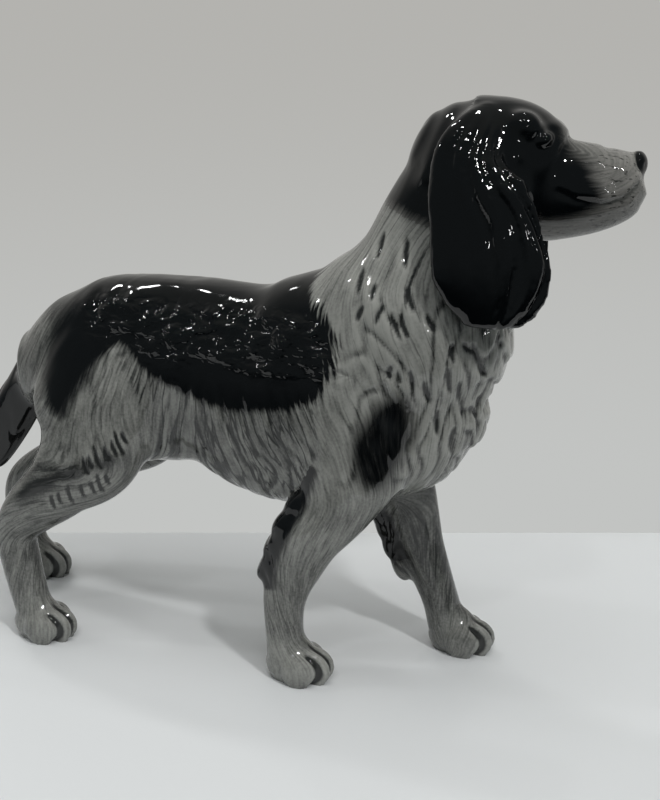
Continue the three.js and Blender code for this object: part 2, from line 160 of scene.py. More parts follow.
# Each row: x, y, z, half width, reach above the middle and reach below it
NECK = [
    [THROAT_X - 18.5, 0, THROAT_Z - 36, NECK_HALF, 25.5, 24.4],
    [THROAT_X - 7.5, 0, THROAT_Z - 22, NECK_HALF - 0.5, 23.8, 25.2],
    [THROAT_X - 3, 0, THROAT_Z - 12, THROAT_HALF + 3, 20.2, 19],
    [THROAT_X, 0, THROAT_Z, THROAT_HALF, 16.7, 12.2],
    [THROAT_X + 3.5, 0, THROAT_Z + 11.5, THROAT_HALF - 1, 13.3, 9.5],
    [THROAT_X + 5.5, 0, THROAT_Z + 18, THROAT_HALF - 2, 10.6, 8],
]

# Head. The second hollow casting, turned a little to the dog's left on the neck: a skull that
# steps down to the muzzle, with brows, eyes, cheeks, lips and nose pressed on as swellings.

HEAD_TURN = math.radians(10)
SKULL_TOP, SKULL_HALF, MUZZLE_HALF, MUZZLE_LENGTH, STOP = 146.3, 13.2, 8.0, 18.0, 24.0
SKULL = from_profile([
    [-6.4, SKULL_TOP - 2.8, SKULL_TOP - 19, SKULL_HALF - 6.6],
    [-4, SKULL_TOP, SKULL_TOP - 24, SKULL_HALF - 3],
    [0, SKULL_TOP + 0.6, SKULL_TOP - 29, SKULL_HALF - 0.8],
    [7, SKULL_TOP + 0.3, SKULL_TOP - 32, SKULL_HALF],
    [13, SKULL_TOP - 0.7, SKULL_TOP - 33, SKULL_HALF - 0.8],
    [16.8, SKULL_TOP - 3.4, SKULL_TOP - 32.9, SKULL_HALF - 2.4],
    [STOP - 3.4, SKULL_TOP - 7.7, SKULL_TOP - 32.7, SKULL_HALF - 4.2],
    [STOP + 1, SKULL_TOP - 9, SKULL_TOP - 32, MUZZLE_HALF + 0.4],
    [STOP + 7, SKULL_TOP - 9.8, SKULL_TOP - 30.5, MUZZLE_HALF + 0.1],
    [STOP + MUZZLE_LENGTH - 6, SKULL_TOP - 10.1, SKULL_TOP - 28.2, MUZZLE_HALF - 0.2],
    [STOP + MUZZLE_LENGTH - 3, SKULL_TOP - 10.3, SKULL_TOP - 25, MUZZLE_HALF - 0.8],
    [STOP + MUZZLE_LENGTH - 1, SKULL_TOP - 11, SKULL_TOP - 22.2, MUZZLE_HALF - 2.2],
])


def swelling(middle, reach, tilt=0.0):
    """An ellipsoid (along cos u, across sin u cos v, high sin u sin v), tipped about the Y axis."""
    u = np.linspace(0.05, np.pi - 0.05, 17)[:, None]
    v = np.linspace(0, 2 * np.pi, 28, endpoint=False)[None]
    ball = np.stack([-np.cos(u) + 0 * v, np.sin(u) * np.cos(v), np.sin(u) * np.sin(v)], -1) * reach
    cos, sin = math.cos(tilt), math.sin(tilt)
    tip = np.array([[cos, 0, -sin], [0, 1, 0], [sin, 0, cos]])
    return closed_grid(ball @ tip + middle)


def head_to_dog(points):
    """Turns head-frame points about the upright through the throat."""
    cos, sin = math.cos(HEAD_TURN), math.sin(HEAD_TURN)
    return points @ np.array([[cos, sin, 0], [-sin, cos, 0], [0, 0, 1]]) + [THROAT_X, 0, 0]


def dog_to_head(points):
    """The same turn taken back."""
    cos, sin = math.cos(HEAD_TURN), math.sin(HEAD_TURN)
    return (points - [THROAT_X, 0, 0]) @ np.array([[cos, -sin, 0], [sin, cos, 0], [0, 0, 1]])


clay = [loft(TRUNK, 2.25, (4, 6.6)), loft(NECK, 2.1, (4, 4))]


def add_head_clay(shape):
    """Puts a head-frame skin among the clay, turned with the head."""
    points, quads, ends = shape
    clay.append((head_to_dog(points), quads, ends))


add_head_clay(loft(SKULL, 2.2, (2.6, 1)))
add_head_clay(swelling([STOP + MUZZLE_LENGTH - 0.6, 0, SKULL_TOP - 14.5], [2.2, 3.4, 3]))
for hand in (-1, 1):
    add_head_clay(swelling([STOP - 8.4, hand * (SKULL_HALF - 5.4), SKULL_TOP - 6], [4.4, 3.6, 3.6]))
    add_head_clay(swelling([STOP - 3.8, hand * (SKULL_HALF - 5), SKULL_TOP - 8.6], [2.2, 1.8, 2]))
    add_head_clay(swelling([STOP + 7.5, hand * (MUZZLE_HALF - 4.2), SKULL_TOP - 19.3], [8.4, 5, 5], 0.16))
    add_head_clay(swelling([10, hand * (SKULL_HALF - 4.8), SKULL_TOP - 20], [9, 5.6, 8.5]))
    add_head_clay(swelling([14.6, hand * (SKULL_HALF - 2.9), SKULL_TOP - 12.3], [2.6, 2, 2.6]))

# Ears. Long flat leathers cast solid and luted to the sides of the skull, where slip is worked
# over the join so that the top of the ear runs into the forehead.

EAR_LENGTH, EAR_FRONT, EAR_BACK, EAR_THICK = 44.0, 13.0, 12.4, 5.6
FAR_EAR_NARROWER = 1.5
# Each row: x, how far out, how far down as a share, thinner by, and shares of the front and back reach
EAR_ROWS = np.array([
    [9, -8, -0.04, 0.6, 0.2, 0.28],
    [6.8, -2.4, 0.05, 0, 0.42, 0.5],
    [4.8, 1, 0.17, 0, 0.6, 0.64],
    [5.4, 3.4, 0.31, 0, 0.8, 0.76],
    [8.2, 5, 0.5, 0, 0.96, 0.94],
    [10.2, 5.8, 0.7, 0, 1.03, 1],
    [11.2, 6, 0.87, 0.3, 0.89, 0.82],
    [11.4, 6, 0.97, 0.7, 0.58, 0.55],
])


def ear_stations(hand):
    """The ear's sections in the head frame: its middle line, half thickness, front and back reach."""
    x, out, down, thin, front, back = EAR_ROWS.T
    z = SKULL_TOP - 5 - down * EAR_LENGTH
    reach = EAR_FRONT - FAR_EAR_NARROWER * (hand > 0)
    half = EAR_THICK / 2 - thin
    return np.stack([x, hand * (SKULL_HALF + out), z, half, front * reach, back * EAR_BACK], 1)


for hand in (-1, 1):
    add_head_clay(loft(ear_stations(hand), 2.0, (1.5, 1.6)))

# Tail. Cast solid and set into the rump, where slip joins it, and carried low. It is dipped in black
# all over, with long hair underneath.

TAIL_LENGTH, TAIL_THICK = 50.0, 9.0
# Each row: share of the length, thicker by, and reach above and below
TAIL_ROWS = np.array([
    [0, 0.8, 7, 5.6],
    [0.25, 0.3, 6.8, 5.8],
    [0.5, 0, 7, 6.4],
    [0.75, -0.4, 6.6, 6],
    [0.93, -1.2, 4.4, 3.8],
])
tail_way = unit(np.array([-0.58, 0, -0.815]))
tail_share = TAIL_ROWS[:, :1]
tail_line = np.array([RUMP + 3.6, 0, BACK - 21]) + tail_way * tail_share * TAIL_LENGTH
tail_line[:, 2] -= 2.2 * np.sin(np.pi * TAIL_ROWS[:, 0])
TAIL = np.hstack([tail_line, TAIL_THICK / 2 + TAIL_ROWS[:, 1:2], TAIL_ROWS[:, 2:]])
clay.append(loft(TAIL, 2.0, (2, 2.6)))

# Legs. Four solid castings luted under the body, each with a paw of four toes on a pad that is
# ground flat, and tapered locks of hair down the back of the forearm.

FORE_STANCE, HIND_STANCE = 14.9, 17.6
RIGHT_FORE_X, LEFT_FORE_X, RIGHT_HIND_X, LEFT_HIND_X = 23.8, 58.6, -50.0, -73.0
FORE_BONE, HIND_BONE, FORE_SEAM, HIND_SEAM = 4.8, 4.4, 41.0, 40.0
PAW_LENGTH, PAW_WIDTH, PAW_HEIGHT = 16.5, 12.8, 12.6


def foreleg(hand, paw_x):
    """The foreleg's sections from the shoulder down; each swings towards its paw by its own share."""
    s, y = paw_x - RIGHT_FORE_X, FORE_STANCE
    rows = [
        [39, 0, y - 8, 86, 6, 10, 9],
        [38.5, 0, y - 5.5, 75, 8.8, 15.5, 13.5],
        [36, 0.05, y - 3.5, 61, 8.6, 15, 11.5],
        [32, 0.22, y - 1.5, 49, 7, 10.6, 8.2],
        [26.4, 0.47, y, 39.5, FORE_BONE + 1.2, 8.2, 7.5],
        [22, 0.67, y, 30.5, FORE_BONE + 0.4, 7.2, 6.6],
        [20, 0.84, y, 22, FORE_BONE, 5.4, 5.8],
        [19.9, 0.94, y, 13.8, FORE_BONE + 0.1, 4.4, 5.2],
        [20.5, 0.98, y, 6.8, FORE_BONE + 0.4, 4.8, 5.4],
    ]
    return [[x + share * s, hand * out, *rest] for x, share, out, *rest in rows]


def hindleg(hand, paw_x):
    """The hind leg's sections from the hip down, bent back at the hock."""
    s, y = paw_x - RIGHT_HIND_X, HIND_STANCE
    rows = [
        [-37, 0, y - 11, 88.5, 5, 8, 7],
        [-36, 0, y - 8.5, 79, 8, 14.5, 12.5],
        [-35, 0, y - 6.5, 67, 9.3, 18, 17.2],
        [-37, 0.02, y - 4, 55, 8.6, 15.8, 13.6],
        [-45, 0.16, y - 1.5, 45.5, 7, 11, 7.8],
        [-53, 0.56, y, 37.5, HIND_BONE + 1, 8.6, 6.2],
        [-57.2, 0.84, y, 29.5, HIND_BONE + 0.2, 5.9, 6],
        [-56.2, 0.97, y, 21, HIND_BONE, 5.4, 5.9],
        [-54.6, 1, y, 13.4, HIND_BONE + 0.1, 4.9, 5.6],
        [-53, 1, y, 6.8, HIND_BONE + 0.4, 4.8, 5.2],
    ]
    return [[x + share * s, hand * out, *rest] for x, share, out, *rest in rows]


LEGS = {
    "foreleg_right": (-1, RIGHT_FORE_X, FORE_STANCE, foreleg(-1, RIGHT_FORE_X)),
    "foreleg_left": (1, LEFT_FORE_X, FORE_STANCE, foreleg(1, LEFT_FORE_X)),
    "hindleg_right": (-1, RIGHT_HIND_X, HIND_STANCE, hindleg(-1, RIGHT_HIND_X)),
    "hindleg_left": (1, LEFT_HIND_X, HIND_STANCE, hindleg(1, LEFT_HIND_X)),
}
for name, (hand, paw_x, stance, stations) in LEGS.items():
    clay.append(loft(stations, 2.1, (5, 3)))
    y = hand * stance
    toe_width = PAW_WIDTH / 4
    pad = [0.43 * PAW_LENGTH, 0.42 * PAW_WIDTH, 0.46 * PAW_HEIGHT]
    clay.append(swelling([paw_x - 0.13 * PAW_LENGTH, y, 0.3 * PAW_HEIGHT], pad))
    instep = [0.42 * PAW_LENGTH, 0.34 * PAW_WIDTH, 0.31 * PAW_HEIGHT]
    clay.append(swelling([paw_x - 0.04 * PAW_LENGTH, y, 0.58 * PAW_HEIGHT], instep, 0.75))
    for place in (-1.5, -0.5, 0.5, 1.5):
        forward, long, high = (0.04, 0.28, 0.35) if abs(place) > 1 else (0.22, 0.31, 0.37)
        middle = [paw_x + forward * PAW_LENGTH, y + 0.94 * place * toe_width, 0.3 * PAW_HEIGHT]
        clay.append(swelling(middle, [long * PAW_LENGTH, 0.76 * toe_width, high * PAW_HEIGHT], 0.3))
    if stance == FORE_STANCE:
        middles, spines, _, ups, reaches = sections(stations, 0.42 + 0.05 * (hand > 0) + 0.07 * np.arange(4))
        for middle, spine, up, reach in zip(middles, spines, ups, reaches):
            at = middle - up * reach[2] - [0, 0, 1.5]
            tilt = math.atan2(spine[0], spine[2]) + 0.12
            clay.append(swelling(at, [2.7, reach[0] * 0.7, 5.4], tilt))

# Luting. The castings are joined with slip, which is sponged into every crease before firing: the
# skins are fused into one surface, and hollows between them are filled while crests stay.

VOXEL = 0.58  # mm, the grain of the fused surface


def fuse(shapes, voxel):
    """Closed skins laid in one mesh and remeshed on a grid of voxels. Returns points and quads."""
    mesh = bpy.data.meshes.new("clay")
    start = np.cumsum([0] + [len(points) for points, _, _ in shapes])
    points = np.concatenate([p for p, _, _ in shapes]) * MM
    faces = [face for (_, quads, _), s in zip(shapes, start) for face in (quads + s).tolist()]
    faces += [[k + s for k in ring] for (_, _, ends), s in zip(shapes, start) for ring in ends]
    mesh.from_pydata(points.tolist(), [], faces)
    lump = bpy.data.objects.new("clay", mesh)
    bpy.context.scene.collection.objects.link(lump)
    remesh = lump.modifiers.new("fuse", "REMESH")
    remesh.mode = "VOXEL"
    remesh.voxel_size = voxel * MM
    solid = lump.evaluated_get(bpy.context.evaluated_depsgraph_get()).to_mesh()
    co = np.empty(len(solid.vertices) * 3, np.float32)
    solid.vertices.foreach_get("co", co)
    corners = np.empty(len(solid.loops), np.int32)
    solid.loops.foreach_get("vertex_index", corners)
    bpy.data.objects.remove(lump)
    bpy.data.meshes.remove(mesh)
    return co.reshape(-1, 3).astype(float) / MM, corners.reshape(-1, 4)


points, quads = fuse(clay, VOXEL)
COUNT = len(points)
pairs = np.sort(np.concatenate([quads[:, [k, (k + 1) % 4]] for k in range(4)]), axis=1)
pairs = np.unique(pairs.astype(np.int64) @ [COUNT, 1])
edge_a, edge_b = pairs // COUNT, pairs % COUNT
degree = np.bincount(edge_a, minlength=COUNT) + np.bincount(edge_b, minlength=COUNT)


def neighbours(values):
    """The mean of each point's neighbours along the edges."""
    if values.ndim == 1:
        total = np.bincount(edge_a, values[edge_b], COUNT) + np.bincount(edge_b, values[edge_a], COUNT)
        return total / degree
    return np.stack([neighbours(column) for column in values.T], 1)


def normals_of(points):
    """Each point's normal: the sum of the cross products of its faces' diagonals."""
    a, b, c, d = (points[quads[:, k]] for k in range(4))
    area = np.cross(c - a, d - b)
    total = [sum(np.bincount(quads[:, k], area[:, axis], COUNT) for k in range(4)) for axis in range(3)]
    return unit(np.stack(total, 1))


def locate(points, stations, power):
    """How far along a loft, round it and outside it each point lies, by its nearest section."""
    share = np.linspace(0, 1, 56)
    middle, spine, across, up, reach = sections(stations, share)
    far = (points**2).sum(1)[:, None] - 2 * points @ middle.T + (middle**2).sum(1)
    near = far.argmin(1)
    offset = points - middle[near]
    along = (offset * spine[near]).sum(1)
    wide = (offset * across[near]).sum(1)
    high = (offset * up[near]).sum(1)
    tall = np.where(high > 0, reach[near, 1], reach[near, 2])
    ratio = (np.abs(wide / reach[near, 0]) ** power + np.abs(high / tall) ** power) ** (1 / power)
    outside = np.hypot((ratio - 1) * np.minimum(reach[near, 0], tall), np.maximum(np.abs(along) - 2.5, 0))
    return share[near], np.arctan2(high / tall, wide / reach[near, 0]), outside, spine[near], up[near]


head_points = dog_to_head(points)
normals = normals_of(points)
parts = {"trunk": (TRUNK, 2.25), "neck": (NECK, 2.1), "skull": (SKULL, 2.2), "tail": (TAIL, 2.0)}
parts |= {"ear_right": (ear_stations(-1), 2.0), "ear_left": (ear_stations(1), 2.0)}
parts |= {name: (stations, 2.1) for name, (_, _, _, stations) in LEGS.items()}
PART = {name: k for k, name in enumerate(parts)}
found = {}
for name, (stations, power) in parts.items():
    inside_head = name == "skull" or name.startswith("ear")
    found[name] = locate(head_points if inside_head else points, stations, power)
gap = np.stack([found[name][2] for name in parts], 1)
owner = gap.argmin(1)


def belongs(*names):
    """1 where a point's nearest loft is one of these, 0 elsewhere."""
    return np.isin(owner, [PART[name] for name in names]).astype(float)


def blur(values, rounds):
    """Diffusion over the surface: half the point, half its neighbours, a number of rounds."""
    for _ in range(rounds):
        values = 0.5 * values + 0.5 * neighbours(values)
    return values


def ease(values, low, high):
    """A smooth step from 0 at low to 1 at high."""
    t = np.clip((values - low) / (high - low), 0, 1)
    return t * t * (3 - 2 * t)


# Slip fills the creases: each hollow point moves out to the mean of its neighbours, but less on the face
# and the hanging part of the ears, and not at the soles
face_side = ease(head_points[:, 0], 12, 18) * belongs("skull")
slip = 1 - 0.85 * blur(face_side, 6)
slip *= ease(points[:, 2], 6.5, 11)
slip *= 1 - 0.8 * blur(belongs("ear_right", "ear_left") * ease(-head_points[:, 2], -132, -126), 6)
for step in range(90):
    if step % 6 == 0:
        normals = normals_of(points)
    pull = ((neighbours(points) - points) * normals).sum(1)
    points = points + normals * (np.maximum(pull, 0) * slip * 0.9)[:, None]
# A sponge takes the grain off without shrinking the form: a step in, and a slightly longer one out
for step in range(8):
    points = points + 0.5 * (neighbours(points) - points)
    points = points - 0.52 * (neighbours(points) - points)
for step in range(6):
    normals = normals_of(points)
    pull = ((neighbours(points) - points) * normals).sum(1)
    points = points + normals * (np.maximum(pull, 0) * 0.9)[:, None]
# The withers, where the neck's skin runs into the back's, are smoothed into one slope
withers = np.exp(-(((points[:, 0] - 24) / 10) ** 2)) * ease(points[:, 2], 93, 98)
for step in range(90):
    points = points + 0.9 * withers[:, None] * (neighbours(points) - points)
normals = normals_of(points)

# Carved coat. The hair is modelled in the clay before firing: combed grooves down the flank,
# rumpled hair under the back, cut locks on the neck and chest, waves down the ears and the tail.

# The way the hair lies on the trunk and the neck, seen from the side: x, z and the angle of the stroke
COMB = np.array([
    [-25, 75, -92], [-16, 70, -76], [-8, 63, -62], [6, 60, -56], [19, 57, -56], [26, 68, -64], [8, 72, -66],
    [-39, 61, -98], [-26, 57, -84], [-45, 72, -108], [-38, 88, -120], [-18, 95, -100], [0, 92, -84],
    [19, 94, -84], [-2, 80, -76], [15, 80, -68], [45, 122, -117], [40, 108, -104], [46, 92, -72],
    [55, 98, -58], [62, 85, -64], [50, 105, -68], [66, 77, -78], [56, 60, -84], [50, 70, -86],
    [36, 62, -84], [34, 80, -80], [30, 98, -108], [70, 92, -74], [38, 45, -85], [-52, 86, -112],
], float)
weight = 1 / (((points[:, None, [0, 2]] - COMB[None, :, :2]) ** 2).sum(2) + 30) ** 2
stroke = np.radians(COMB[:, 2])
flow = unit(np.stack([weight @ np.cos(stroke), np.zeros(COUNT), weight @ np.sin(stroke)], 1))
height = points[:, 2]
for name, (share, angle, _, spine, up) in found.items():
    if name in ("trunk", "neck"):
        continue
    mine = belongs(name)[:, None]
    way = -spine if name == "skull" else spine
    if name == "skull" or name.startswith("ear"):
        way = head_to_dog(way) - [THROAT_X, 0, 0]
    if name.startswith(("foreleg", "hindleg")):
        high_up = ease(height, 46, 58)[:, None]
        way = way * (1 - high_up) + flow * high_up
    flow = flow * (1 - mine) + way * mine
flow = blur(flow, 12)
flow = unit(flow - normals * (flow * normals).sum(1)[:, None])

# The hair parts along the inner side of each leg, where fields that run round it are cut
whole = np.ones(len(edge_a), bool)
for name, (hand, _, _, _) in LEGS.items():
    angle = found[name][1]
    wraps = (np.sin(angle[edge_a]) > 0) != (np.sin(angle[edge_b]) > 0)
    inner = -hand * np.cos(angle[edge_a]) > 0
    low_down = (owner[edge_a] == PART[name]) & (height[edge_a] < 50)
    whole &= ~(wraps & inner & low_down)
kept_a, kept_b = edge_a[whole], edge_b[whole]
kept_degree = np.bincount(kept_a, minlength=COUNT) + np.bincount(kept_b, minlength=COUNT)


def potential(way):
    """The field that rises by |way| along the way: L f = div w over all edges, by conjugate gradients."""
    rise = 0.5 * ((way[kept_a] + way[kept_b]) * (points[kept_b] - points[kept_a])).sum(1)
    rest = np.bincount(kept_b, rise, COUNT) - np.bincount(kept_a, rise, COUNT)
    field, step, size = np.zeros(COUNT), rest.copy(), rest @ rest
    for _ in range(350):
        drawn = np.bincount(kept_a, step[kept_b], COUNT) + np.bincount(kept_b, step[kept_a], COUNT)
        spread = kept_degree * step - drawn
        reach = size / (step @ spread)
        field += reach * step
        rest -= reach * spread
        size, before = rest @ rest, size
        step = rest + size / before * step
    return field


down = potential(flow)
mirror = np.where(points[:, 1] > 0, -1.0, 1.0)[:, None]
aside = potential(np.cross(normals, flow) * mirror) + 0.35 * points[:, 1]


def noise(u, v, seed):
    """Smooth noise between -1 and 1, of unit grain over the plane (u, v)."""
    table = np.random.default_rng(seed).uniform(-1, 1, (256, 256))
    i, j = np.floor(u).astype(int), np.floor(v).astype(int)
    s, t = u - i, v - j
    s, t = s * s * (3 - 2 * s), t * t * (3 - 2 * t)
    a, b, c, d = (table[(i + m) % 256, (j + n) % 256] for m, n in ((0, 0), (1, 0), (0, 1), (1, 1)))
    return (a * (1 - s) + b * s) * (1 - t) + (c * (1 - s) + d * s) * t


def hair(width, length, seed):
    """Noise drawn out along the combed way, in strands of a width and a length in millimetres."""
    bend = noise(aside / (3 * width), down / (0.7 * length), seed + 50)
    slide = noise(aside / (2 * width), down / (3 * length), seed + 60)
    return noise(aside / width + 0.6 * bend, down / length + 1.5 * slide, seed)


def groove(values, narrow):
    """A groove one deep wherever the values pass through nought."""
    return -np.exp(-((values / narrow) ** 2))


x, y, z = points.T
left = y > 0
side_face = blur(belongs("trunk"), 6)
ruff = blur(belongs("neck", "trunk", "foreleg_right", "foreleg_left"), 8) * ease(x, 33, 42) * ease(z, 50, 58)
neck_top = belongs("neck") * ease(z, 106, 116)
flank = side_face * ease(x, -34, -22) * (1 - ease(x, 26, 36)) * (1 - ease(z, 74, 84))
thigh = blur(belongs("trunk", "hindleg_right", "hindleg_left"), 6) * (1 - ease(x, -28, -18)) * ease(z, 44, 52)
belly = side_face * (1 - ease(z, 50, 57)) * ease(x, -30, -22)
limb = blur(belongs(*LEGS), 6) * ease(z, 11, 15) * (1 - ease(z, 46, 56))
feather = np.zeros(COUNT)
for name in ("foreleg_right", "foreleg_left"):
    share, angle = found[name][:2]
    forearm = ease(share, 0.3, 0.45) * (1 - ease(share, 0.74, 0.8))
    feather += belongs(name) * ease(-np.sin(angle), 0.25, 0.7) * forearm
feather = blur(feather, 4)
relief = (0.16 + 0.4 * ease(66 - z, 0, 12)) * flank * groove(hair(2.1, 15, 1), 0.22)
relief = relief + 0.1 * flank * hair(1.5, 10, 2)
relief += 0.3 * belly * groove(hair(2.3, 9, 3), 0.22) + 0.3 * belly * hair(4, 9, 4)
relief += 0.08 * thigh * hair(1.6, 9, 5) + 0.07 * limb * hair(1.4, 14, 6)
locks = 0.5 * groove(hair(3.6, 12, 7), 0.2) + 0.45 * hair(4.6, 13, 8) + 0.16 * hair(1.8, 9, 9)
relief += ruff * (1 - 0.7 * neck_top) * locks
relief += 0.4 * feather * groove(hair(2.6, 9, 10), 0.22)
relief += blur(belongs("tail"), 4) * (0.34 * groove(hair(2.6, 16, 11), 0.2) + 0.2 * hair(4, 14, 12))
relief += 0.05 * blur(belongs("neck", "trunk"), 6) * ease(z, 97, 100) * hair(2.2, 16, 13)
relief += 0.22 * blur(belongs("trunk"), 6) * ease(z, 90, 94) * noise(x / 5.5, y / 5, 14)

# Rumpled hair along the saddle: flat plates parted by narrow wandering grooves
band = side_face * ease(x, -40, -30) * (1 - ease(x, 38, 46)) * ease(z, 79, 84) * (1 - ease(z, 93.5, 97.5))
far_x = x + 40.0 * left
wander_x, wander_z = noise(far_x / 6, z / 4, 21), noise(far_x / 7, z / 5, 22)
plates = noise(far_x / 4.8 + 0.9 * wander_x, z / 2.4 + 0.8 * wander_z, 23)
relief += band * (0.55 * groove(plates, 0.22) + 0.5 * noise(far_x / 3.4, z / 2.4, 24))

# Locks in tiers down the front of the chest, each thickest at its tip
tier = (z + 5.0 * noise(aside / 4, down / 12, 25)) / 7.4
tip = 1 - (tier - np.floor(tier))
chest_front = ruff * ease(normals[:, 0], 0.55, 0.85) * (1 - ease(z, 95, 101))
relief += 1.1 * chest_front * (tip * (1 - ease(tip, 0.75, 1.0)) - 0.4)

# Cuts made with a small gouge, seen from the side: the middle's x and z, length and lean in degrees
RUFF_CUTS = [
    (35, 101, 4, -118), (39, 105, 6, -95), (40, 98, 4, -111), (43, 113, 6, -100), (43, 103, 4, -95),
    (45, 98, 5, -108), (49, 96, 7, -65), (51, 96, 6, -68), (50, 112, 7, -86), (52, 102, 6, -68),
    (48, 85, 4, -103), (50, 84, 4, -80), (53, 81, 10, -85), (56, 80, 6, -81), (57, 97, 5, -60),
    (58, 72, 7, -92), (61, 67, 8, -98), (61, 83, 7, -90), (63, 78, 10, -90), (66, 75, 6, -95),
    (62, 90, 5, -83), (65, 91, 4, -55), (67, 89, 7, -75), (68, 85, 5, -73),
]
CUT_BOW = -0.3


def cut_row(start_x, start_z, step_x, step_z, drift, length, spread, lean):
    """Seven cuts one step apart: sines of the step shift each along the row and change its length."""
    row = []
    for k in range(7):
        shifted = start_x + step_x * k + drift * math.sin(5 * k)
        row.append((shifted, start_z + step_z * k, length + spread * math.sin(4 * k), lean))
    return row


THIGH_CUTS = cut_row(-42, 42, 2.6, 1.2, 0.7, 4.6, 1.4, -83) + cut_row(-32, 53, 1.7, 1.3, 0.5, 5.2, 1.8, -74)


def gouge(cuts, half):
    """Almond cuts one deep: an inverted bell across a bowed line, tapered to its ends, with a raised lip."""
    total = np.zeros(COUNT)
    cut_x, cut_z = x + np.where(left, 2.0, 0), z + np.where(left, 1.5, 0)
    for middle_x, middle_z, length, lean in cuts:
        way_x, way_z = math.cos(math.radians(lean)), math.sin(math.radians(lean))
        along = 0.5 + ((cut_x - middle_x) * way_x + (cut_z - middle_z) * way_z) / length
        bow = 4 * CUT_BOW * along * (1 - along)
        over = (cut_z - middle_z) * way_x - (cut_x - middle_x) * way_z - bow
        taper = np.sqrt(np.clip(4 * along * (1 - along), 0, 1))
        bell = np.exp(-((over / (half * taper + 0.2)) ** 2))
        lip = np.exp(-((over / (2.4 * half * taper + 0.2)) ** 2))
        total = np.where(taper * bell > np.abs(total), taper * (0.35 * lip - 1.35 * bell), total)
    return total


upright = ease(np.abs(normals[:, 1]), 0.1, 0.4)
ruff_cut = gouge(RUFF_CUTS, 0.6) * ruff * upright
thigh_cut = gouge(THIGH_CUTS, 0.25) * upright * blur(belongs("trunk", "hindleg_right", "hindleg_left"), 2)
relief += 0.75 * ruff_cut + 0.5 * thigh_cut

# Paws: cuts between the toes and a dimple over each
toes = np.zeros(COUNT)
for name, (hand, paw_x, stance, _) in LEGS.items():
    on_paw = belongs(name) * (np.hypot(x - paw_x, y - hand * stance) < 13) * (1 - ease(z, 7.5, 11))
    for gap_y in (-3.1, 0.0, 3.1):
        beside = y - hand * stance - gap_y * (1 + 0.02 * (x - paw_x))
        toes += on_paw * ease(x - paw_x, 0.5 + 0.5 * abs(gap_y), 4) * np.exp(-((beside / 0.42) ** 2))
relief -= 0.75 * toes

# Ears: five broad waved locks with finer ones on them, round a smooth lobe low at the back
for name in ("ear_right", "ear_left"):
    share, angle = found[name][:2]
    t = np.sin(angle)
    sway = t + 0.12 * np.sin(2 * np.pi * (1.05 * share + 0.1)) + 0.1 * noise(3 * t, 4 * share, 31)
    broad = np.abs(np.sin(np.pi * 2.5 * sway)) ** 0.6 - 0.72
    small = np.abs(np.sin(np.pi * (6.3 * sway + 0.5 * noise(5 * t, 7 * share, 32)))) ** 0.7 - 0.7
    edge = np.minimum(2.1 * (share - 0.55), 0.12)
    locked = ease(share, 0.06, 0.24) * ease(t - edge, -0.1, 0.06) + 0.12 * ease(share, 0.2, 0.4)
    scallop = 0.5 * ease(np.abs(t), 0.8, 1) * noise(11 * share, 3 * np.sign(t), 33)
    waves = locked * (1.2 * broad + 0.55 * small) + ease(share, 0.2, 0.35) * scallop
    relief += blur(belongs(name), 3) * waves


def away(path, across, upward):
    """Distance from a line of points, in millimetres."""
    near = np.full(len(across), np.inf)
    for (x0, z0), (x1, z1) in zip(path, path[1:]):
        run, rise = x1 - x0, z1 - z0
        t = np.clip(((across - x0) * run + (upward - z0) * rise) / (run**2 + rise**2), 0, 1)
        near = np.minimum(near, np.hypot(across - x0 - t * run, upward - z0 - t * rise))
    return near


# Face: a small eye under a fold of the brow, a soft lip and a nostril
face_points = dog_to_head(points)
fx, fz = face_points[:, 0], face_points[:, 2] - SKULL_TOP
eye = np.hypot((fx - 20.8) / 1.25, fz + 8.7 - 0.2 * (fx - 20.8))
carving = 0.42 * np.sqrt(np.clip(1 - (eye / 1.5) ** 2, 0, 1)) - 0.22 * np.exp(-(((eye - 1.9) / 0.4) ** 2))
carving += 0.24 * np.exp(-(((eye - 3.0) / 0.7) ** 2)) * ease(fz, -9.5, -7.5)
MOUTH = [(42, -17.6), (40.2, -19.6), (38.2, -21.4), (34.2, -22.6), (28.4, -21.8), (24.5, -20)]
carving -= 0.32 * np.exp(-((away(MOUTH, fx, fz) / 0.6) ** 2))
carving += 0.3 * np.exp(-((away([(u, v + 1.5) for u, v in MOUTH], fx, fz) / 1.0) ** 2))
carving -= 0.14 * np.exp(-((away([(25, -10.6), (27, -13.6), (28.6, -18.4)], fx, fz) / 1.1) ** 2))
nostril = np.linalg.norm((np.abs(face_points) - [42.8, 2.0, SKULL_TOP - 14.6]) / [1.3, 0.8, 0.8], axis=1)
carving -= 0.5 * np.exp(-(nostril**2))
relief += carving * belongs("skull") * (np.abs(face_points[:, 1]) > 1.2)
relief = blur(relief, 1)
points = points + normals * relief[:, None]
points = points + 0.3 * (neighbours(points) - points)
normals = normals_of(points)
depth = relief - blur(relief, 16)

# Painting. Black and grey are brushed on under the glaze: a saddle, a patch on the shoulder, the
# feathering and a black head with a grey muzzle. Each patch is an outline seen from the side.


def inside(outline, across, upward):
    """Signed distance to a closed outline: positive inside it, in millimetres."""
    corners = np.vstack([outline, outline[:1]])
    odd = np.zeros(len(across), bool)
    for (x0, z0), (x1, z1) in zip(corners, corners[1:]):
        crosses = (z0 > upward) != (z1 > upward)
        odd ^= crosses & (across < x0 + (x1 - x0) * (upward - z0) / (z1 - z0 + 1e-12))
    near = away(corners, across, upward)
    return np.where(odd, near, -near)


def curve(corners):
    """A closed Catmull-Rom curve through the corners, read at every quarter between two of them."""
    rows = np.vstack([corners[-1:], corners, corners[:2]])
    return between(rows, 1 + np.arange(4 * len(corners)) / 4)


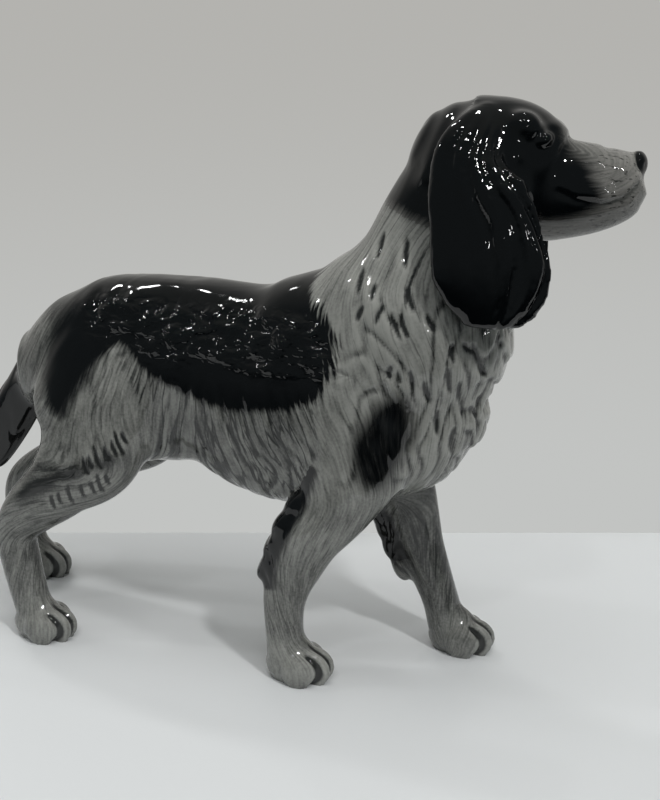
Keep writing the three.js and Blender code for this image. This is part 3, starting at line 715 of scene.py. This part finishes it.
SADDLE = curve([
    (-40, 112), (-41, 96), (-46, 86), (-47, 74), (-43, 66), (-38, 66), (-32, 75), (-25, 84), (-16, 77),
    (-3, 73), (5, 71), (16, 72), (27, 75), (34, 82), (33, 94), (25, 101), (25, 112),
])
SHOULDER = curve([(51, 79), (53, 69), (47, 56), (41, 57), (39, 67), (45, 77)])
MUZZLE = curve([
    (25, 160), (25, 145), (26, 137), (31, 132), (34, 124), (28, 120), (18, 118), (7, 112), (7, 100),
    (60, 100), (60, 160),
])
# Behind the middle line of a foreleg: how far forward the black reaches at each height
FEATHER_Z = [23, 26, 43, 59, 60.5]
FEATHER_X = [-9, -2, -4.4, -4.8, -8]

edge_x, edge_z = x + np.where(left, 2.0, 0), z + np.where(left, 1.5, 0)
head_place = dog_to_head(points)
rump = ease(z, 84, 92) * (1 - ease(x, -36, -26))
hip = (1 - ease(x, -34, -28)) * ease(z, 62, 70)
neck_line = z - 0.32 * (56.5 - x) - 117.6 - 20 * (1 - belongs("skull", "neck"))
front_edge = ease(x, 20, 30)
muzzle = inside(MUZZLE, head_place[:, 0], z)
nose_middle = [STOP + MUZZLE_LENGTH, 0, SKULL_TOP - 14.6]
nose = np.linalg.norm((head_place - nose_middle) / [2.6, 4.2, 3.4], axis=1)
hidden = -9.0 * (1 - belongs("trunk", "neck", "hindleg_right", "hindleg_left"))
off_shoulder = belongs("trunk", "neck", "foreleg_right", "foreleg_left") < 0.5
saddle = inside(SADDLE, edge_x, edge_z) + 2 * rump + hidden
shoulder = inside(SHOULDER, edge_x, edge_z) - 20 * (np.abs(y) < 8) - 20 * off_shoulder
dipped = 12 * (blur(belongs("ear_right", "ear_left", "tail"), 3) - 0.5)
SOLID = 4.0  # a cap so high that brush marks never lower it
# Each patch: its signed distance, the half width of its edge, how far brush marks fray it, and its cap
patches = [
    (saddle, 1.1 + 4 * rump + 1.6 * hip, 0.6 + 1.1 * front_edge, SOLID),
    (shoulder, 2.8, 0.35, 0.92),
    (np.minimum(-muzzle, neck_line), 2.3, 0.5, SOLID),
    (8 * (1 - nose), 0.5, 0.0, SOLID),
    (dipped, 0.5, 0.0, SOLID),
]
for name in ("foreleg_right", "foreleg_left"):
    stations = np.array(LEGS[name][3])
    axis = np.interp(z, stations[::-1, 2], stations[::-1, 0])
    behind_line = np.interp(z, FEATHER_Z, FEATHER_X) - (x - axis)
    behind_line = np.minimum(behind_line, np.minimum(z - 23, 60.5 - z)) - 20 * (1 - belongs(name))
    patches.append((behind_line, 1.5, 0.4, SOLID))
covers = np.stack([np.minimum(0.5 + distance / (2 * soft), cap) for distance, soft, _, cap in patches])
frays = np.stack([ragged / (2 * soft) + 0 * x for _, soft, ragged, _ in patches])
pick = covers.argmax(0)[None]
black = np.clip(np.take_along_axis(covers, pick, 0)[0], -SOLID, SOLID)
fray = np.take_along_axis(frays, pick, 0)[0]
muzzle_hair = ease(muzzle, 0, 2) * belongs("skull")

# Painted shade under the thigh: a darker line along the hind leg
gaskin = np.interp(x, [-54, -40, -18], [41, 49, 58])
shade = np.exp(-(((z - gaskin) / 2.4) ** 2)) * ease(x, -55, -50) * (1 - ease(x, -26, -20)) * upright
drift = noise(aside / 9, down / 16, 41)
# Darker on the trunk behind the shoulder, on the legs and on the rump, and lighter on the ruff; painted shade
# on the front and back of the legs, where they turn away from the side, and on the lower left foreleg, the
# far one
tone_and_painted_shade = 0.2 * belongs("trunk") * (1 - ease(x, 20, 34)) + 0.1 * belongs("hindleg_right", "hindleg_left")
tone_and_painted_shade += 0.1 * belongs(*LEGS) * ease(z, 9, 14) * (1 - ease(z, 44, 56)) + 0.04 * belongs(*LEGS)
turned_away = (1 - np.abs(normals[:, 1])) ** 2
tone_and_painted_shade += 0.2 * belongs(*LEGS) * turned_away + 0.16 * belongs("foreleg_left") * (1 - ease(z, 45, 60))
tone_and_painted_shade = blur(tone_and_painted_shade, 12) + 0.2 * rump - 0.06 * ruff
# Darker in the carved grooves, a little lighter on the crests: underglaze pooled in the grooves, and painted
# shade in them
groove_pool_and_shade = np.clip(-depth * 2.6, -0.25, 0.9) * 0.75
# The wash darkens the grey: the tone and painted shade above, the painted shade under the thigh, the grooves,
# random drift, and the gouged cuts and the clefts of the toes, darker with pooled paint and painted shade,
# lighter on the cuts' lips
wash_and_shade = tone_and_painted_shade + 0.45 * shade + groove_pool_and_shade + 0.12 * drift - 0.34 * thigh_cut - 0.12 * ruff_cut + 0.55 * toes
comb = 0.5 * flank + 0.3 * belly + 0.3 * ruff * (1 - neck_top) + 0.2 * limb + 0.2 * thigh + 0.3 * neck_top

# Glaze. One clear glaze is poured over everything and fired, and the brushed colour lies under it
# as under glass.


def link(tree, source, target):
    """Joins two sockets of a node tree."""
    tree.links.new(source, target)


def brushed_paint_group():
    """Shader group: grey streaked along the hair and darker by the wash and its painted shade, then black
    with frayed edges.
    """
    group = bpy.data.node_groups.new("brushed_paint", "ShaderNodeTree")
    face = group.interface
    for socket, kind in (("Pale", "Color"), ("Deep", "Color"), ("Black", "Color"), ("Streak", "Float")):
        face.new_socket(name=socket, in_out="INPUT", socket_type="NodeSocket" + kind)
    for socket, kind in (("Color", "Color"), ("Height", "Float")):
        face.new_socket(name=socket, in_out="OUTPUT", socket_type="NodeSocket" + kind)
    nodes = group.nodes
    given, out = nodes.new("NodeGroupInput"), nodes.new("NodeGroupOutput")

    def read(name, output="Fac"):
        """A painted attribute of the surface."""
        store = nodes.new("ShaderNodeAttribute")
        store.attribute_name = name
        return store.outputs[output]

    def grain(vector, scale, detail):
        """Fractal noise from 0 to 1."""
        texture = nodes.new("ShaderNodeTexNoise")
        texture.inputs["Scale"].default_value = scale
        texture.inputs["Detail"].default_value = detail
        link(group, vector, texture.inputs["Vector"])
        return texture.outputs["Fac"]

    def computed(operation, a, b=None, c=None):
        """One sum on sockets or numbers, named as the Math node names it."""
        node = nodes.new("ShaderNodeMath")
        node.operation = operation
        for k, value in enumerate((a, b, c)):
            if isinstance(value, float):
                node.inputs[k].default_value = value
            elif value is not None:
                link(group, value, node.inputs[k])
        return node.outputs[0]

    def smooth_step(value, low, high):
        """A smooth step from 0 at low to 1 at high."""
        node = nodes.new("ShaderNodeMapRange")
        node.interpolation_type = "SMOOTHSTEP"
        node.inputs["From Min"].default_value = low
        node.inputs["From Max"].default_value = high
        link(group, value, node.inputs["Value"])
        return node.outputs["Result"]

    def mixed(fac, a, b):
        """a at 0, b at 1."""
        node = nodes.new("ShaderNodeMix")
        node.data_type = "RGBA"
        for socket, value in ((0, fac), (6, a), (7, b)):
            link(group, value, node.inputs[socket])
        return node.outputs[2]

    place = nodes.new("ShaderNodeTexCoord").outputs["Object"]
    streak = computed("SUBTRACT", grain(read("hair", "Vector"), 2.2, 3.0), 0.5)
    broad = computed("SUBTRACT", grain(read("hair", "Vector"), 0.5, 2.0), 0.5)
    near_line = computed("ABSOLUTE", computed("ADD", broad, computed("MULTIPLY", streak, 0.12)))
    lines = computed("MULTIPLY", smooth_step(near_line, 0.045, 0.0), read("comb"))
    speck = computed("SUBTRACT", grain(place, 1600.0, 2.0), 0.5)
    # The grey darkens by the wash, which holds brushed tone and painted shade
    tone = computed("MULTIPLY_ADD", streak, given.outputs["Streak"], read("wash_and_shade"))
    tone = computed("MULTIPLY_ADD", broad, 0.22, tone)
    tone = computed("MULTIPLY_ADD", lines, 0.8, tone)
    tone = computed("MULTIPLY_ADD", speck, 0.35, computed("ADD", tone, 0.36))
    tone = smooth_step(tone, 0.0, 1.0)
    stretch = nodes.new("ShaderNodeMapping")
    stretch.inputs["Rotation"].default_value = (0, 0.9, 0)
    stretch.inputs["Scale"].default_value = (0.2, 1, 1)
    link(group, place, stretch.inputs["Vector"])
    ticks = smooth_step(grain(stretch.outputs[0], 1500.0, 2.0), 0.56, 0.68)
    ticks = computed("MULTIPLY", computed("MULTIPLY", ticks, read("muzzle")), 0.75)
    ragged = computed("MULTIPLY", computed("MULTIPLY_ADD", broad, 0.5, streak), 5.0)
    cover = smooth_step(computed("MULTIPLY_ADD", ragged, read("fray"), read("black")), 0.0, 1.0)
    cover = computed("MAXIMUM", cover, ticks)
    grey = mixed(tone, given.outputs["Pale"], given.outputs["Deep"])
    link(group, mixed(cover, grey, given.outputs["Black"]), out.inputs["Color"])
    bare = computed("SUBTRACT", 1.0, cover)
    relief = computed("MULTIPLY", computed("MULTIPLY_ADD", lines, -2.5, streak), bare)
    ripple = grain(place, 300.0, 1.0)
    plate = nodes.new("ShaderNodeMapping")
    plate.inputs["Scale"].default_value = (240, 120, 430)
    link(group, place, plate.inputs["Vector"])
    bend = nodes.new("ShaderNodeVectorMath")
    bend.operation = "MULTIPLY_ADD"
    texture = nodes.new("ShaderNodeTexNoise")
    texture.inputs["Scale"].default_value = 0.8
    link(group, plate.outputs[0], texture.inputs["Vector"])
    link(group, texture.outputs["Color"], bend.inputs[0])
    bend.inputs[1].default_value = (1.6, 1.6, 1.6)
    link(group, plate.outputs[0], bend.inputs[2])
    cells = nodes.new("ShaderNodeTexVoronoi")
    cells.feature = "DISTANCE_TO_EDGE"
    cells.inputs["Scale"].default_value = 1.0
    link(group, bend.outputs[0], cells.inputs["Vector"])
    plate_grain = computed("MULTIPLY", grain(bend.outputs[0], 1.0, 2.0), 2.0)
    plates = computed("ADD", smooth_step(cells.outputs["Distance"], 0.0, 0.3), plate_grain)
    crinkle = computed("MULTIPLY", plates, read("crinkle"))
    total = computed("MULTIPLY_ADD", relief, 0.9, ripple)
    link(group, computed("MULTIPLY_ADD", crinkle, 4.0, total), out.inputs["Height"])
    return group


PAINT = brushed_paint_group()


def glaze(name, pale, deep, black_tone, roughness, index):
    """A glazed finish: the brushed paint under a glassy coat with a faint ripple."""
    material = bpy.data.materials.new(name)
    material.use_nodes = True
    nodes, tree = material.node_tree.nodes, material.node_tree
    shader = nodes["Principled BSDF"]
    paint = nodes.new("ShaderNodeGroup")
    paint.node_tree = PAINT
    paint.inputs["Pale"].default_value = (*pale, 1)
    paint.inputs["Deep"].default_value = (*deep, 1)
    paint.inputs["Black"].default_value = (*black_tone, 1)
    paint.inputs["Streak"].default_value = 0.8
    link(tree, paint.outputs["Color"], shader.inputs["Base Color"])
    shader.inputs["Roughness"].default_value = roughness
    shader.inputs["IOR"].default_value = index
    bump = nodes.new("ShaderNodeBump")
    bump.inputs["Strength"].default_value = 0.6
    bump.inputs["Distance"].default_value = 0.00006
    link(tree, paint.outputs["Height"], bump.inputs["Height"])
    link(tree, bump.outputs["Normal"], shader.inputs["Normal"])
    return material


roan = glaze("roan_glaze", (0.32, 0.323, 0.298), (0.022, 0.023, 0.022), (0.0012, 0.0016, 0.002), 0.06, 1.5)
jet = glaze("black_glaze", (0.2, 0.194, 0.18), (0.045, 0.048, 0.044), (0.0012, 0.0016, 0.002), 0.045, 1.5)

# The nine pieces. The fused surface is parted along the luted seams, each opening is closed, and
# the normals of the whole are kept, so that the glaze runs over the seams without a line.

centre = points[quads].mean(1)
face_part = np.sort(owner[quads].astype(int), axis=1)[:, 1]
throat = (centre - [THROAT_X, 0, THROAT_Z]) @ unit(np.array([0.3, 0, 0.95]))
BLACK_PIECES = ("head", "ear_left", "ear_right", "tail")
PIECES = ["torso", "head", "ear_left", "ear_right"]
PIECES += [leg + side for leg in ("foreleg", "hindleg") for side in ("_left", "_right")] + ["tail"]
NUMBER = {name: k for k, name in enumerate(PIECES)}
label = np.zeros(len(quads), int)
label[np.isin(face_part, [PART["neck"], PART["skull"]]) & (throat > 0)] = NUMBER["head"]
label[face_part == PART["skull"]] = NUMBER["head"]
for name in ("ear_left", "ear_right"):
    label[face_part == PART[name]] = NUMBER[name]
fore = (centre[:, 2] < FORE_SEAM) & (centre[:, 0] > 0)
hind = (centre[:, 2] < HIND_SEAM) & (centre[:, 0] < 0) & (face_part != PART["tail"])
for side, on_side in (("_left", centre[:, 1] > 0), ("_right", centre[:, 1] < 0)):
    label[fore & on_side] = NUMBER["foreleg" + side]
    label[hind & on_side] = NUMBER["hindleg" + side]
label[face_part == PART["tail"]] = NUMBER["tail"]
# Stray faces go to the piece round them: each face takes the label most common at its corners
for step in range(4):
    votes = np.zeros((COUNT, len(PIECES)))
    for k in range(4):
        np.add.at(votes, (quads[:, k], label), 1)
    label = votes[quads].sum(1).argmax(1)


def joined(links_a, links_b, size):
    """The lowest number that each point can reach over the links, found by passing it on until it rests."""
    lowest = np.arange(size)
    while True:
        before = lowest.copy()
        np.minimum.at(lowest, links_a, lowest[links_b])
        np.minimum.at(lowest, links_b, lowest[links_a])
        if (lowest == before).all():
            return lowest


# Islands of the head, an ear or the tail away from its main body belong to the piece beside them
for name, beside in (("head", "torso"), ("ear_left", "head"), ("ear_right", "head"), ("tail", "torso")):
    mine = np.flatnonzero(label == NUMBER[name])
    corner = quads[mine]
    body = joined(corner.ravel(), np.roll(corner, -1, axis=1).ravel(), COUNT)
    _, which, size = np.unique(body[corner[:, 0]], return_inverse=True, return_counts=True)
    label[mine[which != size.argmax()]] = NUMBER[beside]

low_mm = np.array(cad_low) / MM + [CENTRE_X, 0, 0]
high_mm = np.array(cad_high) / MM + [CENTRE_X, 0, 0]
# The paws are ground flat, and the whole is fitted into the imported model's box, with its soles at nought
GROUND, INSET = 0.6, 0.02
flat = points[:, 2] < GROUND
points[flat, 2] = 0
own_low, own_high = points.min(0), points.max(0)
points = low_mm + INSET + (points - own_low) * ((high_mm - low_mm - 2 * INSET) / (own_high - own_low))
points[flat, 2] = 0.0
smooth_normals = normals_of(points)
# The wash among these holds painted shade as well as brushed tone
PAINTED = {"wash_and_shade": wash_and_shade, "black": black, "fray": fray, "muzzle": muzzle_hair, "comb": comb, "crinkle": band}


def make_piece(name, k, material):
    """One closed piece: its faces of the fused surface, and a fan over each opening."""
    mine = quads[label == k]
    used, corner = np.unique(mine, return_inverse=True)
    corner = corner.reshape(-1, 4)
    a, b = corner.ravel(), np.roll(corner, -1, axis=1).ravel()
    size = len(used)
    lonely = ~np.isin(a.astype(np.int64) * size + b, b.astype(np.int64) * size + a)
    rim_a, rim_b = a[lonely], b[lonely]
    heads, which = np.unique(joined(rim_a, rim_b, size)[rim_a], return_inverse=True)
    own = points[used]
    hubs = np.stack([np.bincount(which, own[rim_a, axis], len(heads)) for axis in range(3)], 1)
    hubs /= np.bincount(which, minlength=len(heads))[:, None]
    fans = np.stack([rim_b, rim_a, size + which], 1)
    vertices = (np.concatenate([own, hubs]) - [CENTRE_X, 0, 0]) * MM
    mesh = bpy.data.meshes.new(name)
    mesh.from_pydata(vertices.tolist(), [], corner.tolist() + fans.tolist())
    mesh.polygons.foreach_set("use_smooth", np.ones(len(mesh.polygons), bool))
    for attribute, values in PAINTED.items():
        store = mesh.attributes.new(attribute, "FLOAT", "POINT")
        brushed = np.concatenate([values[used], np.zeros(len(heads))])
        store.data.foreach_set("value", brushed.astype(np.float32))
    combed = np.concatenate([np.stack([aside, 0.08 * down, 0 * down], 1)[used], np.zeros((len(heads), 3))])
    store = mesh.attributes.new("hair", "FLOAT_VECTOR", "POINT")
    store.data.foreach_set("vector", combed.astype(np.float32).ravel())
    bent = np.concatenate([smooth_normals[used], np.tile([0.0, 0, 1], (len(heads), 1))])
    mesh.normals_split_custom_set_from_vertices(bent.tolist())
    mesh.materials.append(material)
    piece = bpy.data.objects.new(name + "_glazed", mesh)
    bpy.context.scene.collection.objects.link(piece)
    return piece


for name, k in NUMBER.items():
    is_black = name in BLACK_PIECES
    piece = make_piece(name, k, jet if is_black else roan)
    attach(piece, "root")
    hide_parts(name)

# Shelf and light. A white shelf whose back edge is level behind the dog, a pale grey wall, a soft
# light overhead and a few small ceiling lamps that make the sparks in the glaze.

# Millimetres: the shelf's back edge from below the camera, its depth, and how far it runs to each side
SHELF_BACK, SHELF_DEPTH, SHELF_SIDE = 392.4, 200, 1500


def plain(name, colour, roughness):
    """A matt painted surface."""
    material = bpy.data.materials.new(name)
    material.use_nodes = True
    shader = material.node_tree.nodes["Principled BSDF"]
    shader.inputs["Base Color"].default_value = (*colour, 1)
    shader.inputs["Roughness"].default_value = roughness
    return material


def panel(name, corners, material):
    """A flat four-cornered panel, in millimetres of the modelling frame."""
    mesh = bpy.data.meshes.new(name)
    mesh.from_pydata([tuple((np.array(c) - [CENTRE_X, 0, 0]) * MM) for c in corners], [], [(0, 1, 2, 3)])
    mesh.materials.append(material)
    thing = bpy.data.objects.new(name, mesh)
    bpy.context.scene.collection.objects.link(thing)
    return thing


back = EYE * [1, 1, 0] + level_ahead * SHELF_BACK
side = level_right * SHELF_SIDE
front = -level_ahead * SHELF_DEPTH
shelf_white = plain("shelf_white", (0.66, 0.675, 0.68), 0.5)
panel("shelf", [back - side, back - side + front, back + side + front, back + side], shelf_white)

# The room: a pale wall behind the shelf, a dark room in front of it and a dim ceiling
world = bpy.data.worlds.new("room")
bpy.context.scene.world = world
world.use_nodes = True
sky = world.node_tree
heading = sky.nodes.new("ShaderNodeTexCoord").outputs["Generated"]


def toward(direction, low, high):
    """A smooth share of the sky, by its direction's dot product with a given one."""
    dot = sky.nodes.new("ShaderNodeVectorMath")
    dot.operation = "DOT_PRODUCT"
    dot.inputs[1].default_value = direction
    link(sky, heading, dot.inputs[0])
    share = sky.nodes.new("ShaderNodeMapRange")
    share.interpolation_type = "SMOOTHSTEP"
    share.inputs["From Min"].default_value = low
    share.inputs["From Max"].default_value = high
    link(sky, dot.outputs["Value"], share.inputs["Value"])
    return share.outputs["Result"]


def blend(share, first, second):
    """Mixes a sky colour or socket towards a second colour."""
    node = sky.nodes.new("ShaderNodeMix")
    node.data_type = "RGBA"
    link(sky, share, node.inputs[0])
    for socket, value in ((6, first), (7, second)):
        if isinstance(value, tuple):
            node.inputs[socket].default_value = (*value, 1)
        else:
            link(sky, value, node.inputs[socket])
    return node.outputs[2]


wall = blend(toward((0, 0, 1), -0.36, 0.0), (0.54, 0.55, 0.54), (0.455, 0.45, 0.43))
dark_room = blend(toward((0, 0, 1), -0.45, -0.05), (0.012, 0.016, 0.018), (0.11, 0.125, 0.13))
room = blend(toward((*level_ahead[:2], 0), -0.1, 0.6), dark_room, wall)
room = blend(toward((0, 0, 1), 0.55, 0.95), room, (0.2, 0.21, 0.2))
link(sky, room, sky.nodes["Background"].inputs["Color"])


def lamp(name, place, aim, size, watts, shine=True):
    """An area lamp of a given size in metres, turned towards a point."""
    data = bpy.data.lights.new(name, "AREA")
    data.shape = "DISK"
    data.size = size
    data.energy = watts
    thing = bpy.data.objects.new(name, data)
    bpy.context.scene.collection.objects.link(thing)
    thing.location = place
    thing.rotation_mode = "QUATERNION"
    thing.rotation_quaternion = (Vector(aim) - Vector(place)).to_track_quat("-Z", "Y")
    thing.visible_glossy = shine
    return thing


# Lamps in metres from the middle of the dog's stand, in watts
middle = (0, 0, 0.07)
lamp("key", (0.70, -0.52, 0.97), middle, 0.1, 5.4)
lamp("soft_overhead", (0.1, -0.2, 1.1), middle, 0.9, 5.6, shine=False)
lamp("ceiling_1", (-0.62, 0.32, 0.98), middle, 0.11, 1.1)
lamp("ceiling_2", (-0.47, 0.35, 1.08), middle, 0.05, 0.4)
lamp("ceiling_3", (0.07, -0.75, 0.95), middle, 0.05, 0.9)
lamp("ceiling_6", (-0.75, -0.24, 0.62), middle, 0.03, 0.3)
lamp("ceiling_7", (0.35, -0.6, 1.0), middle, 0.03, 0.3)
lamp("ceiling_4", (0.1, 0.35, 1.1), middle, 0.04, 0.4)
lamp("ceiling_5", (-0.9, -0.3, 0.75), middle, 0.04, 0.4)
lamp("window", (0.75, -0.9, 0.3), middle, 0.04, 0.25)

bpy.context.scene.view_settings.view_transform = "Standard"
